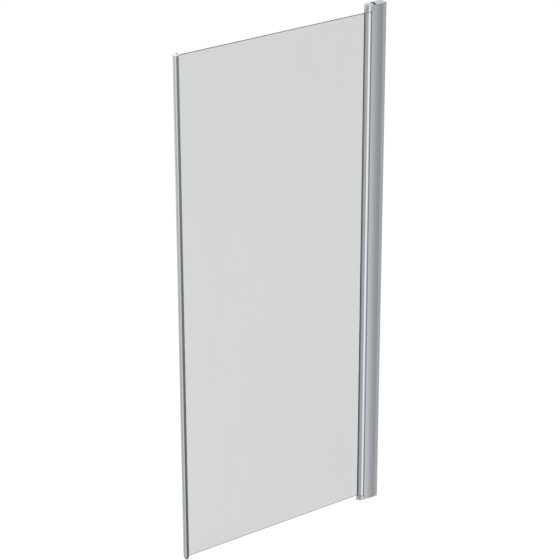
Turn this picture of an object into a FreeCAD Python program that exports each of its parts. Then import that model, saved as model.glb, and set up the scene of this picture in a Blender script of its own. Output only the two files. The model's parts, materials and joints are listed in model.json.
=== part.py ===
"""Hinged shower door: a glass leaf on a turning barrel, held by a post that slides over a wall channel.

The origin lies on the wall face, at half the column's height. X runs from the leaf to the wall, the
room is on the -Y side and Z is up. The closed leaf lies along -X and swings open towards -Y.
"""
import FreeCAD, Part
import math
import os
from types import SimpleNamespace

import Sketcher

# Driving dimensions in millimetres.
SIZES = {
    # Leaf
    "door_width": 812.5,          # wall face to the tip of the free edge
    "glass_height": 1804.0,
    "glass_thickness": 6.0,
    "glass_arris": 0.8,           # ground edge of the glass
    "top_margin": 27.0,           # column above the glass
    "bottom_margin": 19.0,        # column below the glass
    # Barrel that grips the glass
    "axis_to_wall": 61.6,
    "barrel_radius": 14.0,
    "barrel_wall": 1.8,
    "bore_wall": 2.2,             # round the pin bore
    "chamber_back": 3.0,          # end of the hollow, measured back from the axis
    "barrel_cap_thickness": 2.0,
    "barrel_cap_lug": 6.0,        # how far a cap reaches into the hollow
    "barrel_lug_width": 9.0,
    "barrel_lug_thickness": 4.0,
    # Glazing
    "gasket_thickness": 1.5,
    "gasket_nose": 3.8,           # gasket showing outside the barrel
    "gasket_bend": 9.0,           # radius of its sloping face
    "pad_thickness": 1.0,
    "pad_length": 60.0,
    "pad_spacing": 780.0,
    # Pivots
    "pin_radius": 4.0,
    "pin_hold": 40.0,             # pin inside the barrel
    "pin_chamfer": 0.8,
    "bush_wall": 2.5,
    "washer_radius": 10.0,
    "washer_thickness": 1.0,
    "bore_floor": 2.0,            # block left beyond the bush
    "top_gap": 1.0,               # free play over the barrel
    # Post and its cradle
    "post_wall": 1.4,
    "post_bow": 0.7,              # swell of the long faces
    "post_flare": 1.8,            # post depth beyond the cradle
    "lip_edge": 0.7,              # thickness of a lip's tip
    "lip_root": 2.0,              # extra thickness where a lip leaves the web
    "visible_channel": 14.0,      # wall channel left uncovered
    "wiper_reach": 2.4,
    # Wall channel
    "channel_wall": 1.8,
    "channel_reach": 30.0,
    "wall_hole_radius": 3.25,
    "wall_hole_inset": 120.0,     # outer holes from the channel's ends
    "inner_hole_spacing": 540.0,
    # Bearing blocks and post caps
    "end_plate": 1.5,
    "cap_skirt": 8.0,
    "cap_crescent": 10.5,         # open crescent between block and cap
    "undercut_height": 12.0,      # slope under the nose of the top block
    "undercut_reach": 7.5,
    "lug_depth": 3.0,             # block lug from the post's lip inwards
    "relief_height": 5.0,         # notch under the top block beside the lip
    "relief_depth": 5.5,
    # Screws
    "screw_radius": 1.9,
    "screw_head_radius": 3.5,
    "screw_head_height": 2.2,
    "block_screw_length": 8.0,
    "post_screw_length": 9.0,
    "post_screw_spacing": 700.0,
    # Free edge
    "nose_radius": 7.0,
    "edge_wall": 1.5,
    "jaw_length": 8.5,
    "strip_lip": 2.0,             # grip strip past the jaw
    "strip_corner": 1.5,
    "strip_overrun": 9.5,         # grip strip below the glass
    "strip_tongue": 5.0,          # grip strip above the glass, beside the cap
    "foot_height": 12.5,          # rounding at the foot of the free edge
    "edge_cap_plug": 6.0,         # how far a cap reaches into the nose
    "edge_plug_width": 6.8,
    "edge_plug_thickness": 2.3,
    # Clearances
    "running_clearance": 0.05,    # pin in bush
    "press_clearance": 0.02,      # pressed and seated round pieces
    "cradle_clearance": 0.6,      # barrel in the post
    "swing_clearance": 0.5,       # gasket past the post's lip when open
    "slide_clearance": 0.2,       # post over wall channel
    "screw_clearance": 0.2,
    "plug_clearance": 0.15,       # plugs in hollows
    "jaw_clearance": 0.3,         # free-edge jaw to glass
    "contact_clearance": 0.05,    # soft strips to glass, blocks and screw heads to the post
    "wiper_clearance": 0.35,
}

LEFT = 1
RIGHT = -1
ROOM_SIDE = -1
SHOWER_SIDE = 1


class Size:
    """A length that carries its value and the sheet formula behind it."""

    def __init__(self, value, formula):
        self.value = value
        self.formula = formula

    def __add__(self, other):
        other = as_size(other)
        return Size(self.value + other.value, f"({self.formula} + {other.formula})")

    def __sub__(self, other):
        other = as_size(other)
        return Size(self.value - other.value, f"({self.formula} - {other.formula})")

    def __mul__(self, other):
        other = as_size(other)
        return Size(self.value * other.value, f"({self.formula} * {other.formula})")

    def __truediv__(self, other):
        other = as_size(other)
        return Size(self.value / other.value, f"({self.formula} / {other.formula})")

    def __neg__(self):
        return Size(-self.value, f"(-1 * {self.formula})")


def as_size(number):
    """Return a Size for a plain number, or the Size itself."""
    if isinstance(number, Size):
        return number
    return Size(float(number), str(float(number)))


def leg(hypotenuse, other_leg):
    """Return the other leg of a right triangle."""
    square = hypotenuse * hypotenuse - other_leg * other_leg
    return Size(math.sqrt(square.value), f"sqrt({square.formula})")


def make_sheet(doc):
    """Write the driving dimensions to the document's sheet and return them as Sizes."""
    sheet = doc.addObject("Spreadsheet::Sheet", "sizes")
    for row, (name, value) in enumerate(SIZES.items(), start=1):
        sheet.set(f"A{row}", name)
        sheet.set(f"B{row}", str(value))
        sheet.setAlias(f"B{row}", name)
    doc.recompute()
    return SimpleNamespace(**{name: Size(value, f"sizes.{name}") for name, value in SIZES.items()})


def derive(s):
    """Add the sizes that stacks and fits give."""
    s.column_height = s.bottom_margin + s.glass_height + s.top_margin
    s.column_top = s.column_height / 2
    s.column_base = -s.column_top
    s.glass_base = s.column_base + s.bottom_margin
    s.glass_top = s.glass_base + s.glass_height
    s.post_base = s.column_base + s.end_plate
    s.post_length = s.column_height - s.end_plate * 2
    s.axis_x = -s.axis_to_wall
    s.half_glass = s.glass_thickness / 2
    s.slot_half = s.half_glass + s.gasket_thickness
    s.slot_mouth = leg(s.barrel_radius, s.slot_half)
    s.bore_radius = s.pin_radius + s.press_clearance
    s.slot_floor = s.bore_radius + s.bore_wall
    s.glass_edge = s.slot_floor + s.pad_thickness
    s.cradle_radius = s.barrel_radius + s.cradle_clearance
    s.web_radius = s.cradle_radius + s.post_wall
    s.post_half = s.cradle_radius + s.post_flare
    s.post_inside = s.post_half - s.post_wall
    s.lip_reach = s.slot_half + s.swing_clearance
    s.lip_inside = leg(s.cradle_radius, s.lip_reach)
    s.lip_outside = s.lip_inside + s.lip_edge
    s.post_end = s.axis_to_wall - s.visible_channel
    face_run = s.post_end - s.lip_reach
    face_drop = s.post_half - s.lip_outside
    half_chord_squared = (face_run * face_run + face_drop * face_drop) / 4
    s.bow_radius = (half_chord_squared + s.post_bow * s.post_bow) / (s.post_bow * 2)
    s.channel_half = s.post_inside - s.slide_clearance
    s.channel_inside = s.channel_half - s.channel_wall
    s.post_screw_x = -(s.channel_reach + s.visible_channel) / 2
    s.block_radius = s.cradle_radius - s.contact_clearance
    s.top_block_height = s.top_margin - s.barrel_cap_thickness - s.top_gap
    s.top_block_base = s.column_top - s.top_block_height
    s.bottom_stack = s.barrel_cap_thickness + s.washer_thickness
    s.bottom_block_height = s.bottom_margin - s.bottom_stack
    s.bottom_block_top = s.column_base + s.bottom_block_height
    s.bush_bore = s.pin_radius + s.running_clearance
    s.bush_radius = s.bush_bore + s.bush_wall
    s.crescent_radius = s.block_radius + s.cap_crescent
    s.nose_x = s.nose_radius - s.door_width
    s.jaw_inside = s.half_glass + s.jaw_clearance
    s.jaw_outside = s.jaw_inside + s.edge_wall
    s.strip_inside = s.half_glass + s.contact_clearance
    s.strip_base = s.glass_base - s.strip_overrun
    s.edge_base = s.strip_base + s.foot_height
    s.top_screw_z = (s.top_block_base + s.column_top - s.end_plate) / 2
    s.bottom_screw_z = (s.bottom_block_top + s.column_base + s.end_plate) / 2


def face_depth(s, x):
    """Return the post's half depth at a distance from the axis, along its swelled face."""
    share = (x - s.lip_reach) / (s.post_end - s.lip_reach)
    rise = (s.post_half - s.lip_outside) * share
    return s.lip_outside + rise + s.post_bow * 4 * share * (as_size(1) - share)


def bind(target, path, size):
    """Tie a property of an object to the sheet."""
    target.setExpression(path, as_size(size).formula)


def new_body(doc, name, x=None):
    """Return a new body whose local origin lies at x."""
    body = doc.addObject("PartDesign::Body", name)
    body.Label = name
    if x is not None:
        bind(body, "Placement.Base.x", x)
    return body


def new_sketch(body, name, role="XY_Plane", height=None):
    """Return a sketch on one of the body's origin planes, raised along its normal."""
    sketch = body.newObject("Sketcher::SketchObject", f"{body.Name}_{name}")
    plane = next(feature for feature in body.Origin.OriginFeatures if feature.Role == role)
    sketch.AttachmentSupport = [(plane, "")]
    sketch.MapMode = "FlatFace"
    if height is not None:
        bind(sketch, "AttachmentOffset.Base.z", height)
    return sketch


def pin_point(sketch, geometry, position, x, y):
    """Fix a point of the sketch at a place given by Sizes."""
    for kind, size in (("DistanceX", x), ("DistanceY", y)):
        index = sketch.addConstraint(Sketcher.Constraint(kind, -1, 1, geometry, position, size.value))
        bind(sketch, f"Constraints[{index}]", size)


def arc_between(start, end, radius, turn):
    """Return the arc of under half a circle from start to end that bends left or right."""
    chord = end - start
    side = FreeCAD.Vector(-chord.y, chord.x, 0).normalize() * turn
    rise = math.sqrt(max(radius ** 2 - (chord.Length / 2) ** 2, 0))
    centre = (start + end) / 2 + side * rise
    first, last = (start, end) if turn == LEFT else (end, start)
    angles = [math.atan2(point.y - centre.y, point.x - centre.x) for point in (first, last)]
    circle = Part.Circle(centre, FreeCAD.Vector(0, 0, 1), radius)
    return Part.ArcOfCircle(circle, angles[0], angles[1])


def draw_outline(sketch, steps):
    """Draw a closed outline of lines and arcs, every corner tied to the sheet.

    A step is (x, y) for a line to that corner, or (x, y, radius, turn) for an arc to it. The
    outline starts at the corner of the last step.
    """
    steps = [tuple(as_size(size) for size in step[:3]) + step[3:] for step in steps]
    corners = [FreeCAD.Vector(step[0].value, step[1].value, 0) for step in steps]
    ends = []
    for number, step in enumerate(steps):
        start, end = corners[number - 1], corners[number]
        if len(step) == 2:
            geometry = sketch.addGeometry(Part.LineSegment(start, end), False)
            ends.append((geometry, 1, 2))
            continue
        radius, turn = step[2], step[3]
        geometry = sketch.addGeometry(arc_between(start, end, radius.value, turn), False)
        ends.append((geometry, 1, 2) if turn == LEFT else (geometry, 2, 1))
        index = sketch.addConstraint(Sketcher.Constraint("Radius", geometry, radius.value))
        bind(sketch, f"Constraints[{index}]", radius)
    for number, (geometry, first, last) in enumerate(ends):
        before, before_first, before_last = ends[number - 1]
        sketch.addConstraint(Sketcher.Constraint("Coincident", before, before_last, geometry, first))
        pin_point(sketch, geometry, last, steps[number][0], steps[number][1])


def draw_circle(sketch, x, y, radius):
    """Draw a circle tied to the sheet."""
    x, y = as_size(x), as_size(y)
    centre = FreeCAD.Vector(x.value, y.value, 0)
    geometry = sketch.addGeometry(Part.Circle(centre, FreeCAD.Vector(0, 0, 1), radius.value), False)
    pin_point(sketch, geometry, 3, x, y)
    index = sketch.addConstraint(Sketcher.Constraint("Radius", geometry, radius.value))
    bind(sketch, f"Constraints[{index}]", radius)


def draw_rectangle(sketch, low_x, low_y, high_x, high_y):
    """Draw a rectangle between two corners."""
    draw_outline(sketch, [(high_x, low_y), (high_x, high_y), (low_x, high_y), (low_x, low_y)])


def pad(body, sketch, length):
    """Extrude a sketch along its normal."""
    feature = body.newObject("PartDesign::Pad", f"{sketch.Name}_pad")
    feature.Profile = sketch
    bind(feature, "Length", length)
    return feature


def pocket(body, sketch, length=None, along_normal=False, symmetric=False):
    """Cut a sketch into the body, right through if no length is given.

    The cut runs against the sketch's normal, along it, or to both sides.
    """
    feature = body.newObject("PartDesign::Pocket", f"{sketch.Name}_pocket")
    feature.Profile = sketch
    feature.Reversed = along_normal
    if symmetric:
        feature.SideType = "Symmetric"
    if length is None:
        feature.Type = "ThroughAll"
    else:
        bind(feature, "Length", length)
    return feature


def revolve(body, sketch, angle=360.0):
    """Turn a sketch about its vertical axis, evenly to both sides."""
    feature = body.newObject("PartDesign::Revolution", f"{sketch.Name}_turn")
    feature.Profile = sketch
    feature.ReferenceAxis = (sketch, ["V_Axis"])
    feature.Angle = angle
    feature.Midplane = angle < 360.0
    return feature


def wall_channel(doc, s):
    """U section screwed to the wall, open towards the post."""
    body = new_body(doc, "wall_channel")
    section = new_sketch(body, "section", height=s.post_base)
    mouth = -s.channel_reach
    floor = -s.channel_wall
    draw_outline(section, [
        (0, -s.channel_half), (0, s.channel_half),
        (mouth, s.channel_half), (mouth, s.channel_inside),
        (floor, s.channel_inside), (floor, -s.channel_inside),
        (mouth, -s.channel_inside), (mouth, -s.channel_half)])
    pad(body, section, s.post_length)
    holes = new_sketch(body, "wall_holes", "YZ_Plane")
    outer = s.post_length / 2 - s.wall_hole_inset
    inner = s.inner_hole_spacing / 2
    for height in (-outer, -inner, inner, outer):
        draw_circle(holes, 0, height, s.wall_hole_radius)
    pocket(body, holes, s.channel_wall)
    taps = new_sketch(body, "screw_holes", "XZ_Plane")
    for height in post_screw_heights(s):
        draw_circle(taps, s.post_screw_x, height, s.screw_radius + s.screw_clearance)
    pocket(body, taps)
    return body


def post_screw_heights(s):
    """Heights of the screws that hold the post to the wall channel."""
    return -s.post_screw_spacing, as_size(0), s.post_screw_spacing


def hinge_post(doc, s):
    """Extrusion with a round cradle for the barrel and two walls that straddle the wall channel."""
    body = new_body(doc, "hinge_post", s.axis_x)
    section = new_sketch(body, "section", height=s.post_base)
    hollow_half = s.post_inside - s.lip_root
    hollow_start = leg(s.web_radius, hollow_half)
    hollow_bend = s.axis_to_wall - s.channel_reach - s.post_wall
    draw_outline(section, [
        (s.post_end, -s.post_half, s.bow_radius, LEFT),
        (s.post_end, -s.post_inside),
        (hollow_bend, -s.post_inside),
        (hollow_start, -hollow_half),
        (hollow_start, hollow_half, s.web_radius, LEFT),
        (hollow_bend, s.post_inside),
        (s.post_end, s.post_inside),
        (s.post_end, s.post_half),
        (s.lip_reach, s.lip_outside, s.bow_radius, LEFT),
        (s.lip_reach, s.lip_inside),
        (s.lip_reach, -s.lip_inside, s.cradle_radius, RIGHT),
        (s.lip_reach, -s.lip_outside)])
    pad(body, section, s.post_length)
    web_holes = new_sketch(body, "web_holes", "YZ_Plane")
    for height in (s.bottom_screw_z, s.top_screw_z):
        draw_circle(web_holes, 0, height, s.screw_radius + s.screw_clearance)
    pocket(body, web_holes, along_normal=True)
    rear_holes = new_sketch(body, "rear_holes", "XZ_Plane")
    for height in post_screw_heights(s):
        draw_circle(rear_holes, s.axis_to_wall + s.post_screw_x, height, s.screw_radius + s.screw_clearance)
    pocket(body, rear_holes)
    return body


def block_lug(body, s, height):
    """Add the lug that carries a block's end plate over the post's room-side lip."""
    lug = new_sketch(body, "lug", height=height)
    lug_end = s.lip_reach * 2
    lug_back = -(s.block_radius - s.lug_depth)
    draw_outline(lug, [
        (s.lip_reach, -s.lip_outside), (lug_end, -face_depth(s, lug_end)),
        (lug_end, lug_back), (0, lug_back), (0, -s.block_radius)])
    pad(body, lug, s.end_plate)


def block_screw_hole(body, s, height):
    """Drill the hole of the screw that holds a block to the post's web."""
    hole = new_sketch(body, "screw_hole", "YZ_Plane")
    draw_circle(hole, 0, height, s.screw_radius + s.screw_clearance)
    pocket(body, hole, along_normal=True)


def top_bearing_block(doc, s):
    """Round block that fills the cradle above the leaf, sloped underneath and notched at the lip."""
    body = new_body(doc, "top_bearing_block", s.axis_x)
    disc = new_sketch(body, "disc", height=s.top_block_base)
    draw_circle(disc, 0, 0, s.block_radius)
    pad(body, disc, s.top_block_height)
    block_lug(body, s, s.column_top - s.end_plate)
    bore = new_sketch(body, "bore", height=s.top_block_base)
    draw_circle(bore, 0, 0, s.bush_radius + s.press_clearance)
    pocket(body, bore, s.top_block_height - s.bore_floor, along_normal=True)
    undercut = new_sketch(body, "undercut", "XZ_Plane")
    draw_outline(undercut, [
        (s.undercut_reach - s.block_radius, s.top_block_base),
        (-s.block_radius - s.undercut_reach, s.top_block_base + s.undercut_height * 2),
        (-s.block_radius - s.undercut_reach, s.top_block_base)])
    pocket(body, undercut, symmetric=True)
    relief = new_sketch(body, "relief", "XZ_Plane", s.block_radius - s.relief_depth)
    draw_rectangle(relief, 0, s.top_block_base, s.lip_reach, s.top_block_base + s.relief_height)
    pocket(body, relief, s.relief_depth * 2, along_normal=True)
    block_screw_hole(body, s, s.top_screw_z)
    return body


def bottom_bearing_block(doc, s):
    """Round block that carries the leaf's weight at the foot of the cradle."""
    body = new_body(doc, "bottom_bearing_block", s.axis_x)
    disc = new_sketch(body, "disc", height=s.column_base)
    draw_circle(disc, 0, 0, s.block_radius)
    pad(body, disc, s.bottom_block_height)
    block_lug(body, s, s.column_base)
    bore = new_sketch(body, "bore", height=s.bottom_block_top)
    draw_circle(bore, 0, 0, s.bush_radius + s.press_clearance)
    pocket(body, bore, s.bottom_block_height - s.bore_floor)
    block_screw_hole(body, s, s.bottom_screw_z)
    return body


def bush(doc, s, name, low, high):
    """Plain sleeve for a pin, from one height to another."""
    body = new_body(doc, name, s.axis_x)
    section = new_sketch(body, "section", height=low)
    draw_circle(section, 0, 0, s.bush_radius)
    draw_circle(section, 0, 0, s.bush_bore)
    pad(body, section, high - low)
    return body


def thrust_washer(doc, s):
    """Steel washer between the bottom block and the barrel's cap."""
    body = new_body(doc, "thrust_washer", s.axis_x)
    section = new_sketch(body, "section", height=s.bottom_block_top)
    draw_circle(section, 0, 0, s.washer_radius)
    draw_circle(section, 0, 0, s.bush_bore)
    pad(body, section, s.washer_thickness)
    return body


def post_cap(doc, s, name, plate_base, skirt_base):
    """Plate over the post and the wall channel, with a skirt between the channel's walls."""
    body = new_body(doc, name, s.axis_x)
    plate = new_sketch(body, "plate", height=plate_base)
    horn = leg(s.crescent_radius, s.post_half)
    horn_half = face_depth(s, horn)
    draw_outline(plate, [
        (s.post_end, -s.post_half, s.bow_radius, LEFT),
        (s.axis_to_wall, -s.post_half), (s.axis_to_wall, s.post_half), (s.post_end, s.post_half),
        (horn, horn_half, s.bow_radius, LEFT), (horn, -horn_half, s.crescent_radius, RIGHT)])
    pad(body, plate, s.end_plate)
    skirt = new_sketch(body, "skirt", height=skirt_base)
    skirt_half = s.channel_inside - s.plug_clearance
    skirt_end = s.axis_to_wall - s.channel_wall - s.plug_clearance
    draw_rectangle(skirt, s.axis_to_wall - s.channel_reach, -skirt_half, skirt_end, skirt_half)
    pad(body, skirt, s.cap_skirt)
    return body


def wiper_seal(doc, s):
    """Soft fin on the post's shower-side lip that shields the gap to the barrel."""
    body = new_body(doc, "wiper_seal", s.axis_x)
    base = s.bottom_block_top + s.bottom_stack
    section = new_sketch(body, "section", height=base)
    wipe_radius = s.barrel_radius + s.wiper_clearance
    tip = s.lip_reach - s.wiper_reach
    draw_outline(section, [
        (s.lip_reach, s.lip_outside), (s.lip_reach - s.wiper_reach / 2, s.lip_outside),
        (tip, leg(wipe_radius, tip)),
        (s.lip_reach, leg(wipe_radius, s.lip_reach), wipe_radius, RIGHT)])
    pad(body, section, s.glass_height)
    return body


def pivot_profile(doc, s):
    """Barrel extrusion with a slot for the glass, a bore for the pins and a hollow behind it."""
    body = new_body(doc, "pivot_profile", s.axis_x)
    section = new_sketch(body, "section", height=s.glass_base)
    draw_outline(section, [
        (s.barrel_radius, 0, s.barrel_radius, LEFT),
        (-s.slot_mouth, s.slot_half, s.barrel_radius, LEFT),
        (-s.slot_floor, s.slot_half), (-s.slot_floor, -s.slot_half),
        (-s.slot_mouth, -s.slot_half)])
    draw_circle(section, 0, 0, s.bore_radius)
    chamber_outline(section, s)
    pad(body, section, s.glass_height)
    return body


def chamber_outline(sketch, s):
    """Draw the barrel's hollow, a C shape round the pin bore."""
    outer = s.barrel_radius - s.barrel_wall
    inner = s.slot_floor
    back = -s.chamber_back
    outer_end = leg(outer, back)
    inner_end = leg(inner, back)
    draw_outline(sketch, [
        (outer, 0, outer, LEFT), (back, outer_end, outer, LEFT),
        (back, inner_end), (inner, 0, inner, RIGHT), (back, -inner_end, inner, RIGHT),
        (back, -outer_end)])


def barrel_cap(doc, s, name, disc_base, lug_base):
    """Disc that closes an end of the barrel, with a lug in its hollow."""
    body = new_body(doc, name, s.axis_x)
    disc = new_sketch(body, "disc", height=disc_base)
    draw_circle(disc, 0, 0, s.barrel_radius)
    draw_circle(disc, 0, 0, s.bore_radius)
    pad(body, disc, s.barrel_cap_thickness)
    lug = new_sketch(body, "lug", height=lug_base)
    lug_start = s.slot_floor + s.plug_clearance
    lug_half = s.barrel_lug_width / 2
    draw_rectangle(lug, lug_start, -lug_half, lug_start + s.barrel_lug_thickness, lug_half)
    pad(body, lug, s.barrel_cap_lug)
    return body


def pivot_pin(doc, s, name, held_end, free_end, up):
    """Steel pin with a chamfered free end."""
    body = new_body(doc, name, s.axis_x)
    section = new_sketch(body, "section", "XZ_Plane")
    draw_outline(section, [
        (s.pin_radius, held_end), (s.pin_radius, free_end - s.pin_chamfer * up),
        (s.pin_radius - s.pin_chamfer, free_end), (0, free_end), (0, held_end)])
    revolve(body, section)
    return body


def glass_pane(doc, s):
    """Toughened pane with ground edges, from the free edge to the barrel's slot."""
    body = new_body(doc, "glass_pane")
    section = new_sketch(body, "section", height=s.glass_base)
    draw_rectangle(section, s.nose_x + s.pad_thickness, -s.half_glass, s.axis_x - s.glass_edge, s.half_glass)
    block = pad(body, section, s.glass_height)
    doc.recompute()
    arris = body.newObject("PartDesign::Chamfer", "glass_pane_arris")
    arris.Base = (block, [f"Edge{number + 1}" for number in range(len(block.Shape.Edges))])
    bind(arris, "Size", s.glass_arris)
    return body


def hinge_gasket(doc, s, name, side):
    """Wedge gasket between the glass and a wall of the barrel's slot, with a sloping nose."""
    body = new_body(doc, name, s.axis_x)
    section = new_sketch(body, "section", height=s.glass_base)
    face = s.half_glass * side
    wall = s.slot_half * side
    tip = -(s.slot_mouth + s.gasket_nose)
    draw_outline(section, [
        (tip, face), (-s.slot_mouth, wall, s.gasket_bend, RIGHT * side),
        (-s.glass_edge, wall), (-s.glass_edge, face)])
    pad(body, section, s.glass_height)
    return body


def box(doc, name, low, size):
    """Return a box with its low corner and its sides tied to the sheet."""
    solid = doc.addObject("Part::Box", name)
    for axis, place in zip("xyz", low):
        bind(solid, f"Placement.Base.{axis}", place)
    for side, length in zip(("Length", "Width", "Height"), size):
        bind(solid, side, length)
    return solid


def group(doc, name, members):
    """Join separate solids in one node."""
    compound = doc.addObject("Part::Compound", name)
    compound.Label = name
    compound.Links = members
    return compound


def hinge_setting_pads(doc, s):
    """Pads that hold the glass edge off the floor of the barrel's slot."""
    pads = []
    width = s.glass_thickness - s.contact_clearance * 2
    middle = (s.glass_base + s.glass_top) / 2
    for number, height in enumerate((-s.pad_spacing, as_size(0), s.pad_spacing)):
        low = (s.axis_x - s.glass_edge, -width / 2, middle + height - s.pad_length / 2)
        pads.append(box(doc, f"setting_pad_{number + 1}", low, (s.pad_thickness, width, s.pad_length)))
    return group(doc, "hinge_setting_pads", pads)


def edge_tape(doc, s):
    """Mounting tape between the glass edge and the free-edge profile."""
    width = s.glass_thickness - s.contact_clearance * 2
    low = (s.nose_x, -width / 2, s.glass_base)
    tape = box(doc, "edge_tape", low, (s.pad_thickness, width, s.glass_height))
    tape.Label = "edge_tape"
    return tape


def edge_profile(doc, s):
    """Hollow round nose with two jaws that grip the glass."""
    body = new_body(doc, "edge_profile", s.nose_x)
    section = new_sketch(body, "section", height=s.edge_base)
    radius = s.nose_radius
    draw_outline(section, [
        (-radius, 0, radius, LEFT), (0, -radius, radius, LEFT),
        (0, -s.jaw_outside), (s.jaw_length, -s.jaw_outside),
        (s.jaw_length, -s.jaw_inside), (0, -s.jaw_inside),
        (0, s.jaw_inside), (s.jaw_length, s.jaw_inside),
        (s.jaw_length, s.jaw_outside), (0, s.jaw_outside), (0, radius)])
    hollow = s.nose_radius - s.edge_wall
    hollow_half = leg(hollow, s.edge_wall)
    draw_outline(section, [
        (-hollow, 0, hollow, LEFT), (-s.edge_wall, -hollow_half, hollow, LEFT),
        (-s.edge_wall, hollow_half)])
    pad(body, section, s.glass_top - s.edge_base)
    return body


def grip_strip(doc, s, name, side):
    """Soft strip over a jaw of the free edge, with a tongue beside the top cap and a rounded foot."""
    body = new_body(doc, name, s.nose_x)
    section = new_sketch(body, "section", height=s.strip_base)
    reach = s.jaw_length + s.strip_lip
    outside = s.nose_radius
    corner = s.strip_corner
    draw_outline(section, [
        (0, s.jaw_outside * side), (0, outside * side), (reach - corner, outside * side),
        (reach, (outside - corner) * side, corner, RIGHT * side), (reach, s.strip_inside * side),
        (s.jaw_length, s.strip_inside * side), (s.jaw_length, s.jaw_outside * side)])
    pad(body, section, s.strip_overrun + s.glass_height + s.strip_tongue)
    foot = new_sketch(body, "foot", "XZ_Plane")
    foot_radius = (reach * reach + s.foot_height * s.foot_height) / (reach * 2)
    draw_outline(foot, [
        (0, s.strip_base, foot_radius, RIGHT), (reach, s.strip_base), (reach, s.edge_base)])
    pocket(body, foot, symmetric=True)
    seat = new_sketch(body, "cap_seat", "XZ_Plane")
    draw_rectangle(seat, 0, s.glass_top, s.nose_radius + s.plug_clearance, s.glass_top + s.strip_tongue)
    pocket(body, seat, symmetric=True)
    return body


def edge_cap(doc, s, name, seat, height, up, angle):
    """Dome on an end of the nose, turned from a profile in four straight steps, with a plug."""
    body = new_body(doc, name, s.nose_x)
    dome = new_sketch(body, "dome", "XZ_Plane")
    slopes = [math.pi / 8 * step for step in range(1, 4)]
    draw_outline(dome, [
        (0, seat), (-s.nose_radius, seat),
        *((-s.nose_radius * math.cos(slope), seat + height * math.sin(slope) * up) for slope in slopes),
        (0, seat + height * up)])
    revolve(body, dome, angle)
    plug_base = seat - s.edge_cap_plug if up > 0 else seat
    plug = new_sketch(body, "plug", height=plug_base)
    plug_face = -(s.edge_wall + s.plug_clearance)
    plug_half = s.edge_plug_width / 2
    draw_rectangle(plug, plug_face - s.edge_plug_thickness, -plug_half, plug_face, plug_half)
    pad(body, plug, s.edge_cap_plug)
    return body


def cylinder(doc, name, radius, length, place, rotation):
    """Return a cylinder that starts at a place and runs along a turned Z axis."""
    solid = doc.addObject("Part::Cylinder", name)
    bind(solid, "Radius", radius)
    bind(solid, "Height", length)
    solid.Placement = FreeCAD.Placement(FreeCAD.Vector(), rotation)
    for axis, coordinate in zip("xyz", place):
        bind(solid, f"Placement.Base.{axis}", coordinate)
    return solid


TOWARDS_LEAF = FreeCAD.Rotation(FreeCAD.Vector(0, 1, 0), -90)
TOWARDS_ROOM = FreeCAD.Rotation(FreeCAD.Vector(1, 0, 0), 90)


def screw(doc, name, s, head_place, seat_place, length, rotation):
    """Return a pan-head screw whose head starts at one place and whose shank starts at its seat."""
    head = cylinder(doc, f"{name}_head", s.screw_head_radius, s.screw_head_height, head_place, rotation)
    shank = cylinder(doc, f"{name}_shank", s.screw_radius, length, seat_place, rotation)
    whole = doc.addObject("Part::MultiFuse", name)
    whole.Shapes = [head, shank]
    return whole


def block_screws(doc, s):
    """Screws through the post's web into the two blocks."""
    screws = []
    seat = s.axis_x + s.web_radius
    for number, height in enumerate((s.bottom_screw_z, s.top_screw_z)):
        zero = as_size(0)
        head_place = (seat + s.screw_head_height, zero, height)
        screws.append(screw(doc, f"block_screw_{number + 1}", s, head_place, (seat, zero, height),
                            s.block_screw_length, TOWARDS_LEAF))
    return group(doc, "block_screws", screws)


def post_screws(doc, s):
    """Screws through the post's rear wall into the wall channel."""
    screws = []
    seat = face_depth(s, s.axis_to_wall + s.post_screw_x) + s.contact_clearance
    for number, height in enumerate(post_screw_heights(s)):
        head_place = (s.post_screw_x, seat + s.screw_head_height, height)
        seat_place = (s.post_screw_x, seat, height)
        screws.append(screw(doc, f"post_screw_{number + 1}", s, head_place, seat_place,
                            s.post_screw_length, TOWARDS_ROOM))
    return group(doc, "post_screws", screws)


def build(doc, s):
    """Make every piece and return them."""
    return [
        wall_channel(doc, s),
        hinge_post(doc, s),
        top_bearing_block(doc, s),
        bottom_bearing_block(doc, s),
        bush(doc, s, "top_bush", s.top_block_base, s.column_top - s.bore_floor),
        bush(doc, s, "bottom_bush", s.column_base + s.bore_floor, s.bottom_block_top),
        thrust_washer(doc, s),
        post_cap(doc, s, "top_post_cap", s.column_top - s.end_plate,
                 s.column_top - s.end_plate - s.cap_skirt),
        post_cap(doc, s, "bottom_post_cap", s.column_base, s.post_base),
        block_screws(doc, s),
        post_screws(doc, s),
        wiper_seal(doc, s),
        pivot_profile(doc, s),
        barrel_cap(doc, s, "top_barrel_cap", s.glass_top, s.glass_top - s.barrel_cap_lug),
        barrel_cap(doc, s, "bottom_barrel_cap", s.glass_base - s.barrel_cap_thickness, s.glass_base),
        pivot_pin(doc, s, "top_pivot_pin", s.glass_top - s.pin_hold, s.column_top - s.bore_floor, 1),
        pivot_pin(doc, s, "bottom_pivot_pin", s.glass_base + s.pin_hold, s.column_base + s.bore_floor, -1),
        glass_pane(doc, s),
        hinge_gasket(doc, s, "front_hinge_gasket", ROOM_SIDE),
        hinge_gasket(doc, s, "rear_hinge_gasket", SHOWER_SIDE),
        hinge_setting_pads(doc, s),
        edge_profile(doc, s),
        edge_tape(doc, s),
        grip_strip(doc, s, "front_grip_strip", ROOM_SIDE),
        grip_strip(doc, s, "rear_grip_strip", SHOWER_SIDE),
        edge_cap(doc, s, "top_edge_cap", s.glass_top, s.nose_radius, 1, 360.0),
        edge_cap(doc, s, "bottom_edge_cap", s.edge_base, s.foot_height, -1, 180.0),
    ]


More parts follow.
